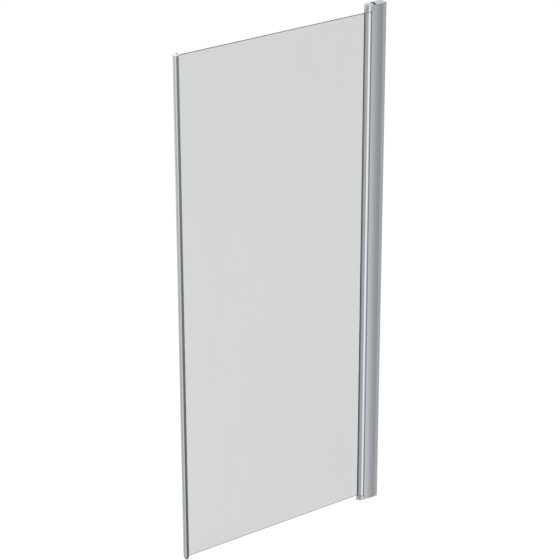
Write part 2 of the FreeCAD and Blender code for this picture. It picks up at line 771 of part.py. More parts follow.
def check(doc, pieces):
    """Stop if any object failed or any piece has no valid shape."""
    for item in doc.Objects:
        if "Invalid" in item.State or "Error" in item.State:
            raise RuntimeError(f"{item.Name} failed: {item.State}")
    for piece in pieces:
        if piece.Shape.isNull() or not piece.Shape.isValid():
            raise RuntimeError(f"{piece.Label} has no valid shape")


def main():
    """Build the door and write one file for each piece."""
    doc = FreeCAD.newDocument("shower_door")
    sizes = make_sheet(doc)
    derive(sizes)
    pieces = build(doc, sizes)
    doc.recompute()
    check(doc, pieces)
    os.makedirs("parts", exist_ok=True)
    for piece in pieces:
        piece.Shape.exportStep(os.path.join("parts", f"{piece.Label}.step"))
        print(f"{piece.Label}: {len(piece.Shape.Solids)} solids, {piece.Shape.Volume / 1000:.2f} cm3")


main()
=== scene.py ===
"""Looks of the hinged shower door: finishes for its solids, the fine pieces they leave out, and the studio.

All lengths are in metres in the part's own frame: the wall face is x = 0, the room is on the -Y side and
Z is up from the middle of the column.
"""
from __future__ import annotations

import json
import logging
import math
from abc import ABC, abstractmethod
from collections.abc import Mapping
from dataclasses import dataclass, field
from enum import Enum, IntEnum

import bmesh
import bpy
import numpy as np
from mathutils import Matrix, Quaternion, Vector

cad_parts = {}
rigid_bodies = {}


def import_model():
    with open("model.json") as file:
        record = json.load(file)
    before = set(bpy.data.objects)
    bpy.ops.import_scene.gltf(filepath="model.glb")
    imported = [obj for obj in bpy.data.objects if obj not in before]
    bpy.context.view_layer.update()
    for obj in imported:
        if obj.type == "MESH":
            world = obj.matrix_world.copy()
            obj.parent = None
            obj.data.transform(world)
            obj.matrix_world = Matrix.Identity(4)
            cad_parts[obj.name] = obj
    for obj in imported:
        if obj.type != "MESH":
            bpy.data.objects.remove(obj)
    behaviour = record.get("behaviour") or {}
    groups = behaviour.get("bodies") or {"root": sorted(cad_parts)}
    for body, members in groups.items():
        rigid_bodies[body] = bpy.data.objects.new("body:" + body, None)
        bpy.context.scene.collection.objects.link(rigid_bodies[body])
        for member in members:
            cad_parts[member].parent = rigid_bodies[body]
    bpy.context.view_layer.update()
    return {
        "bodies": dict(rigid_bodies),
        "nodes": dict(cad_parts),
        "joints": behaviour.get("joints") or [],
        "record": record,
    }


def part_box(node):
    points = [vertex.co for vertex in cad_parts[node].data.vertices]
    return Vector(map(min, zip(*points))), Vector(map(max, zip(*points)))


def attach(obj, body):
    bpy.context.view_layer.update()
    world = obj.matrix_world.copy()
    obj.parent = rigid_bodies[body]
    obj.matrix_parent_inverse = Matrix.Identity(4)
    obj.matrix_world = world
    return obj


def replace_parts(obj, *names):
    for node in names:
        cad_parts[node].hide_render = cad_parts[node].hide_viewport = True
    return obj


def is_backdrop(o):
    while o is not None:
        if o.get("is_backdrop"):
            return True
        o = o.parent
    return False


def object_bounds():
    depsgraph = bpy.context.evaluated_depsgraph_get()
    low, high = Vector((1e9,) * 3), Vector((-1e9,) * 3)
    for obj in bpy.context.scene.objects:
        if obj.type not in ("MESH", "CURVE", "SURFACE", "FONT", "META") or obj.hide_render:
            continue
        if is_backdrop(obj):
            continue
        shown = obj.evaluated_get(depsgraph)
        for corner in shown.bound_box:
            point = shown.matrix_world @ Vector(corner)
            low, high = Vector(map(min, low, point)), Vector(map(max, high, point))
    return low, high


LOG = logging.getLogger("shower_door")
MM = 0.001
CREASE = math.radians(35)
WELD = 0.001 * MM


class Body(str, Enum):
    """The two rigid bodies of the door."""

    COLUMN = "column"
    DOOR = "door"


class Slot(str, Enum):
    """The record's material slots for the new pieces; the script lists them but assigns none."""

    POLYMER = "silver_grey_polymer"
    RUBBER = "dark_grey_rubber"
    STEEL = "stainless_steel"


class MixIn(IntEnum):
    """Inputs of a mix node, which go by number because several have the same name."""

    SHARE = 0
    LEVEL_A = 2
    LEVEL_B = 3
    COLOUR_A = 6
    COLOUR_B = 7


class MixOut(IntEnum):
    """Outputs of a mix node, which go by number for the same reason."""

    LEVEL = 0
    COLOUR = 2


def linear(colour: str) -> tuple[float, float, float, float]:
    """Turn an sRGB hex colour into linear RGBA.

    Args:
        colour: Six hex digits with a leading hash.

    Returns:
        Linear red, green and blue, and an alpha of 1.
    """
    shares = np.array([int(colour[at:at + 2], 16) for at in (1, 3, 5)]) / 255
    curve = np.where(shares <= 0.04045, shares / 12.92, ((shares + 0.055) / 1.055) ** 2.4)
    return float(curve[0]), float(curve[1]), float(curve[2]), 1.0


def per_metre(spacing_mm: float) -> float:
    """Return the texture scale that repeats once in a spacing given in millimetres."""
    return 1 / (spacing_mm * MM)


def add_node(tree: bpy.types.NodeTree, kind: str, inputs: Mapping | None = None,
             links: Mapping | None = None, stops: Mapping[float, float] | None = None,
             **settings: object) -> bpy.types.Node:
    """Add a shader node with its settings, input values and incoming links.

    Args:
        tree: The node tree that gets the node.
        kind: The node's class name.
        inputs: Values by input name or number.
        links: Output sockets by input name or number.
        stops: Grey levels by place on a colour ramp.
        **settings: Attributes of the node itself.

    Returns:
        The new node.
    """
    node = tree.nodes.new(kind)
    for name, value in settings.items():
        setattr(node, name, value)
    for name, value in (inputs or {}).items():
        node.inputs[name].default_value = value
    for name, socket in (links or {}).items():
        tree.links.new(socket, node.inputs[name])
    for number, (place, level) in enumerate(sorted((stops or {}).items())):
        ramp = node.color_ramp.elements
        stop = ramp[number] if number < len(ramp) else ramp.new(place)
        stop.position, stop.color = place, (level, level, level, 1.0)
    return node


def blank_material(name: str) -> bpy.types.Material:
    """Make a material that has no nodes yet.

    Args:
        name: The material's name.

    Returns:
        The new material.
    """
    made = bpy.data.materials.new(name)
    made.use_nodes = True
    made.node_tree.nodes.clear()
    return made


@dataclass(frozen=True)
class Finish:
    """A real material's surface: its name, colour and gloss, with a grain at a real scale.

    The grain is noise over the piece, stretched along Z where the piece was drawn or extruded. It varies the
    colour between two shades, moves the roughness a little and gives a slight bump. Crevices up to a
    given width get a painted shade: their colour is darker where little open sky reaches them.
    """

    name: str
    colour: str
    shade: str
    roughness: float
    grain_mm: tuple[float, float, float]
    metallic: float = 0.0
    specular: float = 0.5
    roughness_spread: float = 0.06
    bump_mm: float = 0.02
    bump_strength: float = 0.5
    grain_detail: float = 3.0
    # Width of the crevices that get a painted shade.
    shade_crevice_mm: float = 0.0
    crevice_level: float = 0.12
    darkest_share: float = 0.25
    unshaded_share: float = 0.75

    def material(self) -> bpy.types.Material:
        """Build the material.

        Returns:
            The finished material.
        """
        made = blank_material(self.name)
        made.diffuse_color = linear(self.colour)
        self.wire(made.node_tree)
        return made

    def grain(self, tree: bpy.types.NodeTree) -> bpy.types.NodeSocket:
        """Add the grain, which is about 0.5 on average.

        Args:
            tree: The material's node tree.

        Returns:
            The grain's value.
        """
        place = add_node(tree, "ShaderNodeTexCoord")
        scale = tuple(per_metre(size) for size in self.grain_mm)
        stretch = add_node(tree, "ShaderNodeMapping", inputs={"Scale": scale},
                           links={"Vector": place.outputs["Object"]})
        noise = add_node(tree, "ShaderNodeTexNoise", inputs={"Scale": 1.0, "Detail": self.grain_detail},
                         links={"Vector": stretch.outputs["Vector"]})
        return noise.outputs["Fac"]

    def tint(self, tree: bpy.types.NodeTree, grain: bpy.types.NodeSocket) -> bpy.types.NodeSocket:
        """Add the colour, which the grain varies between its two shades.

        Args:
            tree: The material's node tree.
            grain: The grain's value.

        Returns:
            The colour.
        """
        mixed = add_node(tree, "ShaderNodeMix", data_type="RGBA",
                         inputs={MixIn.COLOUR_A: linear(self.colour), MixIn.COLOUR_B: linear(self.shade)},
                         links={MixIn.SHARE: grain})
        return mixed.outputs[MixOut.COLOUR]

    def crevice_shade(self, tree: bpy.types.NodeTree, colour: bpy.types.NodeSocket) -> bpy.types.NodeSocket:
        """Darken the colour in crevices.

        The colour is left as it is where the part of the sky over it that is open reaches one share, and gets
        its darkest painted shade where that falls to a lower share.

        Args:
            tree: The material's node tree.
            colour: The colour of the unshaded surface.

        Returns:
            The colour with painted shade in its crevices.
        """
        sky = add_node(tree, "ShaderNodeAmbientOcclusion", only_local=True,
                       inputs={"Distance": self.shade_crevice_mm * MM})
        unshaded = add_node(tree, "ShaderNodeMapRange",
                         inputs={"From Min": self.darkest_share, "From Max": self.unshaded_share,
                                 "To Min": self.crevice_level},
                         links={"Value": sky.outputs["AO"]})
        mixed = add_node(tree, "ShaderNodeMix", data_type="RGBA", blend_type="MULTIPLY",
                         inputs={MixIn.SHARE: 1.0},
                         links={MixIn.COLOUR_A: colour, MixIn.COLOUR_B: unshaded.outputs["Result"]})
        return mixed.outputs[MixOut.COLOUR]

    def surface(self, tree: bpy.types.NodeTree, grain: bpy.types.NodeSocket) -> bpy.types.Node:
        """Add the shader with its colour, roughness and bump from the grain.

        Args:
            tree: The material's node tree.
            grain: The grain's value.

        Returns:
            The shader node.
        """
        colour = self.tint(tree, grain)
        # Crevices get a painted shade from the ambient occlusion.
        if self.shade_crevice_mm:
            colour = self.crevice_shade(tree, colour)
        rough = add_node(tree, "ShaderNodeMapRange",
                         inputs={"To Min": self.roughness - self.roughness_spread,
                                 "To Max": self.roughness + self.roughness_spread},
                         links={"Value": grain})
        bump = add_node(tree, "ShaderNodeBump",
                        inputs={"Distance": self.bump_mm * MM, "Strength": self.bump_strength},
                        links={"Height": grain})
        return add_node(tree, "ShaderNodeBsdfPrincipled",
                        inputs={"Metallic": self.metallic, "Specular IOR Level": self.specular},
                        links={"Base Color": colour, "Roughness": rough.outputs["Result"],
                               "Normal": bump.outputs["Normal"]})

    def wire(self, tree: bpy.types.NodeTree) -> None:
        """Join grain, shader and output."""
        shader = self.surface(tree, self.grain(tree))
        add_node(tree, "ShaderNodeOutputMaterial", links={"Surface": shader.outputs["BSDF"]})


@dataclass(frozen=True)
class SheetGlass(Finish):
    """Float glass: clear through its faces, with ground edges that look green, and darkest on top.

    The edges are the faces that don't look along Y, found from the normal, and the top edge, painted in
    shade, is the one that looks up. Each is told by a part of the normal that is past a limit.
    """

    edge: str = "#d2d9d7"
    # Painted shade on the edge that looks up.
    top_edge: str = "#3c4744"
    index: float = 1.5
    pane_limit: float = 0.9
    top_limit: float = 0.3

    def wire(self, tree: bpy.types.NodeTree) -> None:
        """Join the pane's tint, its edges, the shader and the output.

        Args:
            tree: The material's node tree.
        """
        place = add_node(tree, "ShaderNodeTexCoord")
        parts = add_node(tree, "ShaderNodeSeparateXYZ", links={"Vector": place.outputs["Normal"]})
        facing = add_node(tree, "ShaderNodeMath", operation="ABSOLUTE", links={0: parts.outputs["Y"]})
        pane = add_node(tree, "ShaderNodeMath", operation="GREATER_THAN", inputs={1: self.pane_limit},
                        links={0: facing.outputs["Value"]})
        upwards = add_node(tree, "ShaderNodeMath", operation="GREATER_THAN", inputs={1: self.top_limit},
                           links={0: parts.outputs["Z"]})
        # The edge that looks up takes the painted shade instead of the edge colour.
        edge = add_node(tree, "ShaderNodeMix", data_type="RGBA",
                        inputs={MixIn.COLOUR_A: linear(self.edge), MixIn.COLOUR_B: linear(self.top_edge)},
                        links={MixIn.SHARE: upwards.outputs["Value"]})
        colour = add_node(tree, "ShaderNodeMix", data_type="RGBA",
                          links={MixIn.SHARE: pane.outputs["Value"],
                                 MixIn.COLOUR_A: edge.outputs[MixOut.COLOUR],
                                 MixIn.COLOUR_B: self.tint(tree, self.grain(tree))})
        shader = add_node(tree, "ShaderNodeBsdfPrincipled",
                          inputs={"Roughness": self.roughness, "IOR": self.index, "Transmission Weight": 1.0},
                          links={"Base Color": colour.outputs[MixOut.COLOUR]})
        add_node(tree, "ShaderNodeOutputMaterial", links={"Surface": shader.outputs["BSDF"]})


# Extruded aluminium, polished and clear anodised to a satin sheen: cool silver with soft-edged reflections
# and fine draw lines along its length. The lines are drawn coarser than real ones so that they show.
ALUMINIUM = Finish("satin anodised aluminium", "#edf2f8", "#e7ecf2", 0.18, (1.6, 1.6, 260.0), metallic=1.0,
                   roughness_spread=0.03, bump_mm=0.006, shade_crevice_mm=12.0)
# Extruded aluminium, etched before it was anodised: the same silver, but matt, so that it blurs what it
# mirrors.
ETCHED_ALUMINIUM = Finish("etched anodised aluminium", "#e6eaed", "#dee2e5", 0.42, (1.6, 1.6, 260.0),
                          metallic=1.0, roughness_spread=0.05, bump_mm=0.012)
# ABS moulding under a polished silver lacquer: nearly as bright as the aluminium, and as clear in its
# reflections.
LACQUERED_ABS = Finish("silver lacquered ABS", "#e0e4e7", "#d9dde0", 0.2, (1.2, 1.2, 1.2), metallic=1.0,
                       roughness_spread=0.04, bump_mm=0.01, shade_crevice_mm=8.0)
# The same lacquer on a moulding with a fine spark-eroded grain: metallic, but duller.
GRAINED_ABS = Finish("silver lacquered grained ABS", "#d9dddf", "#d0d4d6", 0.3, (1.2, 1.2, 1.2),
                     metallic=0.9, bump_mm=0.03, shade_crevice_mm=8.0)
# ABS moulded in pale grey on the top end cap of the free edge: plain and satin, from a polished mould.
MOULDED_ABS = Finish("pale grey moulded ABS", "#cdd0d1", "#c5c8c9", 0.3, (2.0, 2.0, 2.0), bump_mm=0.01)
# Extruded EPDM rubber: dark grey, matt, with a faint bloom along its length.
EPDM = Finish("EPDM rubber", "#7d8184", "#717578", 0.5, (2.5, 2.5, 60.0), specular=0.35, bump_mm=0.03)
# Foamed EPDM of the pads and the tape: black, open and dull.
FOAM = Finish("foamed EPDM", "#1d1e1f", "#141415", 0.85, (0.8, 0.8, 0.8), specular=0.2, bump_mm=0.08)
# Turned stainless steel: bright, with fine tool marks round its axis.
STEEL = Finish("stainless steel", "#c4c4c2", "#b4b4b2", 0.24, (3.0, 3.0, 0.5), metallic=1.0, bump_mm=0.01)
# Machined acetal of the bushes: milky white and waxy.
ACETAL = Finish("acetal", "#ebe9e2", "#dfddd6", 0.42, (1.5, 1.5, 0.6), specular=0.45)
# Toughened float glass of the pane.
GLASS = SheetGlass("toughened float glass", "#d7d8d8", "#d5d7d7", 0.0, (90.0, 90.0, 260.0))


def material_of(finish: Finish) -> bpy.types.Material:
    """Return the material of a finish, made at its first use."""
    return bpy.data.materials.get(finish.name) or finish.material()


def grid_faces(rows: int, columns: int, wrap: bool) -> np.ndarray:
    """Return the quads of a grid of points.

    Args:
        rows: Points along the first parameter.
        columns: Points along the second parameter.
        wrap: Whether the second parameter closes on itself.

    Returns:
        Point numbers, four to a row.
    """
    across = columns if wrap else columns - 1
    row, column = np.meshgrid(np.arange(rows - 1), np.arange(across), indexing="ij")
    after = (column + 1) % columns
    quads = [row * columns + column, row * columns + after, (row + 1) * columns + after,
             (row + 1) * columns + column]
    return np.stack([quad.ravel() for quad in quads], axis=1)


def rounded(corners: np.ndarray, radii: np.ndarray, steps: int = 7) -> np.ndarray:
    """Round the corners of a closed outline.

    Each corner becomes a quadratic curve from a point one radius before it to a point one radius after it,
    with the corner as its control point.

    Args:
        corners: Corner points, two numbers each.
        radii: How far each rounding reaches along its two sides.
        steps: Points on each rounding.

    Returns:
        The outline's points.
    """
    before, after = np.roll(corners, 1, axis=0) - corners, np.roll(corners, -1, axis=0) - corners
    start = corners + before / np.linalg.norm(before, axis=1, keepdims=True) * radii[:, None]
    end = corners + after / np.linalg.norm(after, axis=1, keepdims=True) * radii[:, None]
    t = np.linspace(0, 1, steps)[None, :, None]
    curve = (1 - t) ** 2 * start[:, None] + 2 * t * (1 - t) * corners[:, None] + t ** 2 * end[:, None]
    return curve.reshape(-1, 2)


def evenly(outline: np.ndarray, spacing: float) -> np.ndarray:
    """Place a closed outline's points again at about even steps along its length.

    Args:
        outline: Points round the outline, two numbers each.
        spacing: The length of a step.

    Returns:
        The new points.
    """
    loop = np.vstack([outline, outline[:1]])
    run = np.concatenate([[0], np.cumsum(np.linalg.norm(np.diff(loop, axis=0), axis=1))])
    at = np.linspace(0, run[-1], int(run[-1] / spacing), endpoint=False)
    return np.stack([np.interp(at, run, loop[:, axis]) for axis in (0, 1)], axis=1)


def stacked(outlines: np.ndarray, heights: np.ndarray) -> tuple[np.ndarray, list[list[int]]]:
    """Join closed outlines at rising heights into a shell with flat ends.

    Args:
        outlines: Points by height and place round the outline, two numbers each.
        heights: The outlines' heights, upwards.

    Returns:
        The shell's points and its faces, which point outwards.
    """
    turn = outlines * np.roll(outlines, -1, axis=1)[..., ::-1]
    if np.sum(turn[..., 0] - turn[..., 1]) < 0:
        outlines = outlines[:, ::-1]
    rows, columns, _ = outlines.shape
    levels = np.broadcast_to(heights[:, None, None], (rows, columns, 1))
    points = np.concatenate([outlines, levels], axis=2).reshape(-1, 3)
    round_end = np.arange(columns)
    ends = [round_end[::-1].tolist(), (round_end + (rows - 1) * columns).tolist()]
    return points, grid_faces(rows, columns, wrap=True).tolist() + ends


def extruded(outline: np.ndarray, base: float, crest: float) -> tuple[np.ndarray, list[list[int]]]:
    """Return the shell of a closed outline carried straight up from one height to another."""
    return stacked(np.stack([outline, outline]), np.array([base, crest]))


def new_piece(name: str, points: np.ndarray, faces: list[list[int]], body: Body,
              finish: Finish) -> bpy.types.Object:
    """Make a welded piece, smooth between its creases, that rides on a body.

    Args:
        name: The piece's name.
        points: Points in the part's frame, three to a row.
        faces: Point numbers of each face.
        body: The body that carries the piece.
        finish: The piece's finish.

    Returns:
        The new object.
    """
    mesh = bpy.data.meshes.new(name)
    mesh.from_pydata(points.tolist(), [], faces)
    weld = bmesh.new()
    weld.from_mesh(mesh)
    bmesh.ops.remove_doubles(weld, verts=weld.verts, dist=WELD)
    weld.to_mesh(mesh)
    weld.free()
    mesh.polygons.foreach_set("use_smooth", np.ones(len(mesh.polygons), dtype=bool))
    mesh.set_sharp_from_angle(angle=CREASE)
    mesh.materials.append(material_of(finish))
    mesh.update()
    piece = bpy.data.objects.new(name, mesh)
    bpy.context.scene.collection.objects.link(piece)
    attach(piece, body.value)
    LOG.info("%s: %d faces in %s", name, len(mesh.polygons), finish.name)
    return piece


@dataclass
class PanHeadScrews:
    """The three screws that lock the post on the wall channel, with cross recesses and threads.

    They stand for the plain solids of the same size.
    """

    head_radius: float = 3.5 * MM
    head_height: float = 2.2 * MM
    dome: float = 0.7 * MM
    recess_reach: float = 2.0 * MM
    recess_depth: float = 1.2 * MM
    recess_arm: float = 0.55 * MM
    shank_radius: float = 1.9 * MM
    thread_depth: float = 0.3 * MM
    thread_pitch: float = 1.2 * MM
    recess_slope: float = 0.3
    count: int = 3
    around: int = 48
    dome_steps: int = 22
    seat_steps: int = 4
    shank_steps: int = 90
    tip_steps: int = 5

    def profile(self, length: float) -> tuple[np.ndarray, np.ndarray]:
        """Return radius and height along the screw, from the middle of its head to its tip.

        The head is a flat dome whose height falls with the square of the radius, down to a straight rim. The
        shank follows it at even steps.

        Args:
            length: The shank's length under the head.

        Returns:
            Radii and heights above the head's seat.
        """
        share = np.linspace(0, 1, self.dome_steps)
        dome_radius = share * self.head_radius
        dome_height = self.head_height - self.dome * share ** 2
        under = np.linspace(self.head_radius, self.shank_radius, self.seat_steps)
        steps = np.linspace(0, -length, self.shank_steps)
        tip = np.linspace(self.shank_radius, 0, self.tip_steps)
        radius = np.concatenate([dome_radius, under, np.full(steps.size, self.shank_radius), tip])
        height = np.concatenate([dome_height, np.zeros(under.size), steps, np.full(tip.size, -length)])
        return radius, height

    def surface(self, length: float) -> np.ndarray:
        """Return one screw's points about its own axis, which is +Y out of the head.

        The recess lowers the dome where the point lies in one of two crossed arms, whose walls slope over a
        share of their width and reach. The thread takes a triangle wave of height and angle off the shank's
        radius, so it runs round as a helix.

        Args:
            length: The shank's length under the head.

        Returns:
            Points by profile step and angle.
        """
        radius, height = self.profile(length)
        angle = np.linspace(0, 2 * math.pi, self.around, endpoint=False)
        wave = np.abs(((height[:, None] / self.thread_pitch + angle[None, :] / (2 * math.pi)) % 1) * 2 - 1)
        on_shank = ((height < 0) & (radius >= self.shank_radius))[:, None]
        rings = radius[:, None] - np.where(on_shank, wave * self.thread_depth, 0)
        x, z = rings * np.cos(angle), rings * np.sin(angle)
        narrow, far = np.minimum(np.abs(x), np.abs(z)), np.hypot(x, z)
        arm = np.clip((self.recess_arm - narrow) / (self.recess_slope * self.recess_arm), 0, 1)
        reach = np.clip((self.recess_reach - far) / (self.recess_slope * self.recess_reach), 0, 1)
        on_head = (height > 0)[:, None]
        y = height[:, None] - np.where(on_head, self.recess_depth * arm * reach, 0)
        return np.stack([x, np.broadcast_to(y, x.shape), z], axis=-1)

    def build(self) -> None:
        """Make the screws where the solids' heads are."""
        low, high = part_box("post_screws")
        seat = high.y - self.head_height
        single = self.surface(seat - low.y)
        heights = np.linspace(low.z + self.head_radius, high.z - self.head_radius, self.count)
        quads = grid_faces(single.shape[0], single.shape[1], wrap=True)
        points = single.reshape(-1, 3)
        middle = (low.x + high.x) / 2
        placed = [points + np.array([middle, seat, height]) for height in heights]
        faces = np.concatenate([quads + number * len(points) for number in range(heights.size)])
        piece = new_piece("locking_screws", np.concatenate(placed), faces[:, ::-1].tolist(), Body.COLUMN,
                          STEEL)
        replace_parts(piece, "post_screws")


@dataclass
class Assembly(ABC):
    """The solids of one body, each with its finish."""

    frame: dict
    finishes: dict[str, Finish] = field(default_factory=dict)

    def dress(self) -> None:
        """Give every solid its finish."""
        for node, finish in self.finishes.items():
            solid = self.frame["nodes"][node]
            solid.data.materials.clear()
            solid.data.materials.append(material_of(finish))
            LOG.info("%s: %s", node, finish.name)

    @abstractmethod
    def build(self) -> None:
        """Make the pieces that are finer than the solids."""


@dataclass
class HingeColumn(Assembly):
    """The fixed side: wall channel, post, bearing blocks, caps, screws and the wiper seal."""

    finishes: dict[str, Finish] = field(default_factory=lambda: {
        "wall_channel": ETCHED_ALUMINIUM, "hinge_post": ALUMINIUM,
        "top_bearing_block": LACQUERED_ABS, "bottom_bearing_block": LACQUERED_ABS,
        "top_post_cap": GRAINED_ABS, "bottom_post_cap": GRAINED_ABS,
        "top_bush": ACETAL, "bottom_bush": ACETAL,
        "thrust_washer": STEEL, "block_screws": STEEL, "post_screws": STEEL,
        "wiper_seal": EPDM})
    screws: PanHeadScrews = field(default_factory=PanHeadScrews)
    wiper_radius: float = 14.35 * MM
    wiper_root: float = 0.7 * MM
    wiper_tip: float = 0.3 * MM
    wiper_closing: float = 0.1
    block_radius: float = 14.57 * MM
    notch_height: float = 5.0 * MM
    lip_reach: float = 5.0 * MM
    lip_outside: float = 14.44 * MM
    lap_reach: float = 10.0 * MM
    lap_seat: float = 14.96 * MM
    lap_turn: float = math.radians(6.5)
    lap_round: float = 0.4 * MM
    toe_reach: float = 19.9 * MM
    toe_root: float = 12.0 * MM
    toe_half: float = 1.5 * MM
    toe_round: float = 0.8 * MM
    arc_steps: int = 25

    def build(self) -> None:
        """Make the screws, the wiper's fin, and the cheeks and toe of the blocks."""
        self.screws.build()
        self.wiper()
        top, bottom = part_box("top_bearing_block"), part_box("bottom_bearing_block")
        self.cheek("top_block_cheek", top[0].z + self.notch_height, top[1].z)
        self.cheek("bottom_block_cheek", bottom[0].z, bottom[1].z)
        self.toe("bottom_block_toe", bottom[0].z, bottom[1].z)

    def axis(self) -> float:
        """Return where the hinge axis stands along X."""
        low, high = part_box("top_pivot_pin")
        return (low.x + high.x) / 2

    def cheek(self, name: str, base: float, crest: float) -> None:
        """Make the cheek with which a bearing block laps the post's room-side lip.

        Its front is the tangent of the block's circle at a small angle from the room side, as far as the lap
        reaches. Its back follows the post's face and lip, and then the circle.

        Args:
            name: The piece's name.
            base: The height of its lower end.
            crest: The height of its upper end.
        """
        start, end = -math.pi / 2 - self.lap_turn, -math.acos(self.lip_reach / self.block_radius)
        arc = np.linspace(end, start, self.arc_steps)
        circle = self.block_radius * np.stack([np.cos(arc), np.sin(arc)], axis=1)
        tangent = circle[-1]
        front = tangent[1] - (self.lap_reach - tangent[0]) * math.tan(self.lap_turn)
        corners = np.array([tangent, [self.lap_reach, front], [self.lap_reach, -self.lap_seat],
                            [self.lip_reach, -self.lip_outside], circle[0]])
        radii = np.array([0, self.lap_round, 0, 0, 0])
        outline = np.concatenate([rounded(corners, radii), circle[1:-1]]) + np.array([self.axis(), 0])
        points, faces = extruded(outline, base, crest)
        new_piece(name, points, faces, Body.COLUMN, LACQUERED_ABS)

    def toe(self, name: str, base: float, crest: float) -> None:
        """Make the flat toe that the bottom bearing block has under the glass.

        In plan it is a bar thinner than the glass, from inside the block to a tip with round corners.

        Args:
            name: The piece's name.
            base: The height of its lower end.
            crest: The height of its upper end.
        """
        corners = np.array([[-self.toe_reach, -self.toe_half], [-self.toe_root, -self.toe_half],
                            [-self.toe_root, self.toe_half], [-self.toe_reach, self.toe_half]])
        radii = np.array([self.toe_round, 0, 0, self.toe_round])
        outline = rounded(corners, radii) + np.array([self.axis(), 0])
        points, faces = extruded(outline, base, crest)
        new_piece(name, points, faces, Body.COLUMN, LACQUERED_ABS)

    def wiper(self) -> None:
        """Make the wiper's fin.

        Its inner side keeps one distance from the hinge axis. Its thickness falls in a straight line from
        root to tip and closes over the last part of the way as a quarter ellipse.
        """
        low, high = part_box("wiper_seal")
        axis = self.axis()
        root, tip = (math.acos((x - axis) / self.wiper_radius) for x in (high.x, low.x))
        share = np.linspace(0, 1, self.arc_steps)
        angle = root + (tip - root) * share
        past = np.maximum(share - (1 - self.wiper_closing), 0) / self.wiper_closing
        closing = np.sqrt(np.clip(1 - past ** 2, 0, 1))
        thickness = (self.wiper_root + (self.wiper_tip - self.wiper_root) * share) * closing
        outer = self.wiper_radius + thickness
        radius = np.concatenate([np.full(share.size, self.wiper_radius), outer[::-1]])
        turn = np.concatenate([angle, angle[::-1]])
        outline = np.stack([axis + radius * np.cos(turn), radius * np.sin(turn)], axis=1)
        points, faces = extruded(outline, low.z, high.z)
        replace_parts(new_piece("wiper_fin", points, faces, Body.COLUMN, EPDM), "wiper_seal")


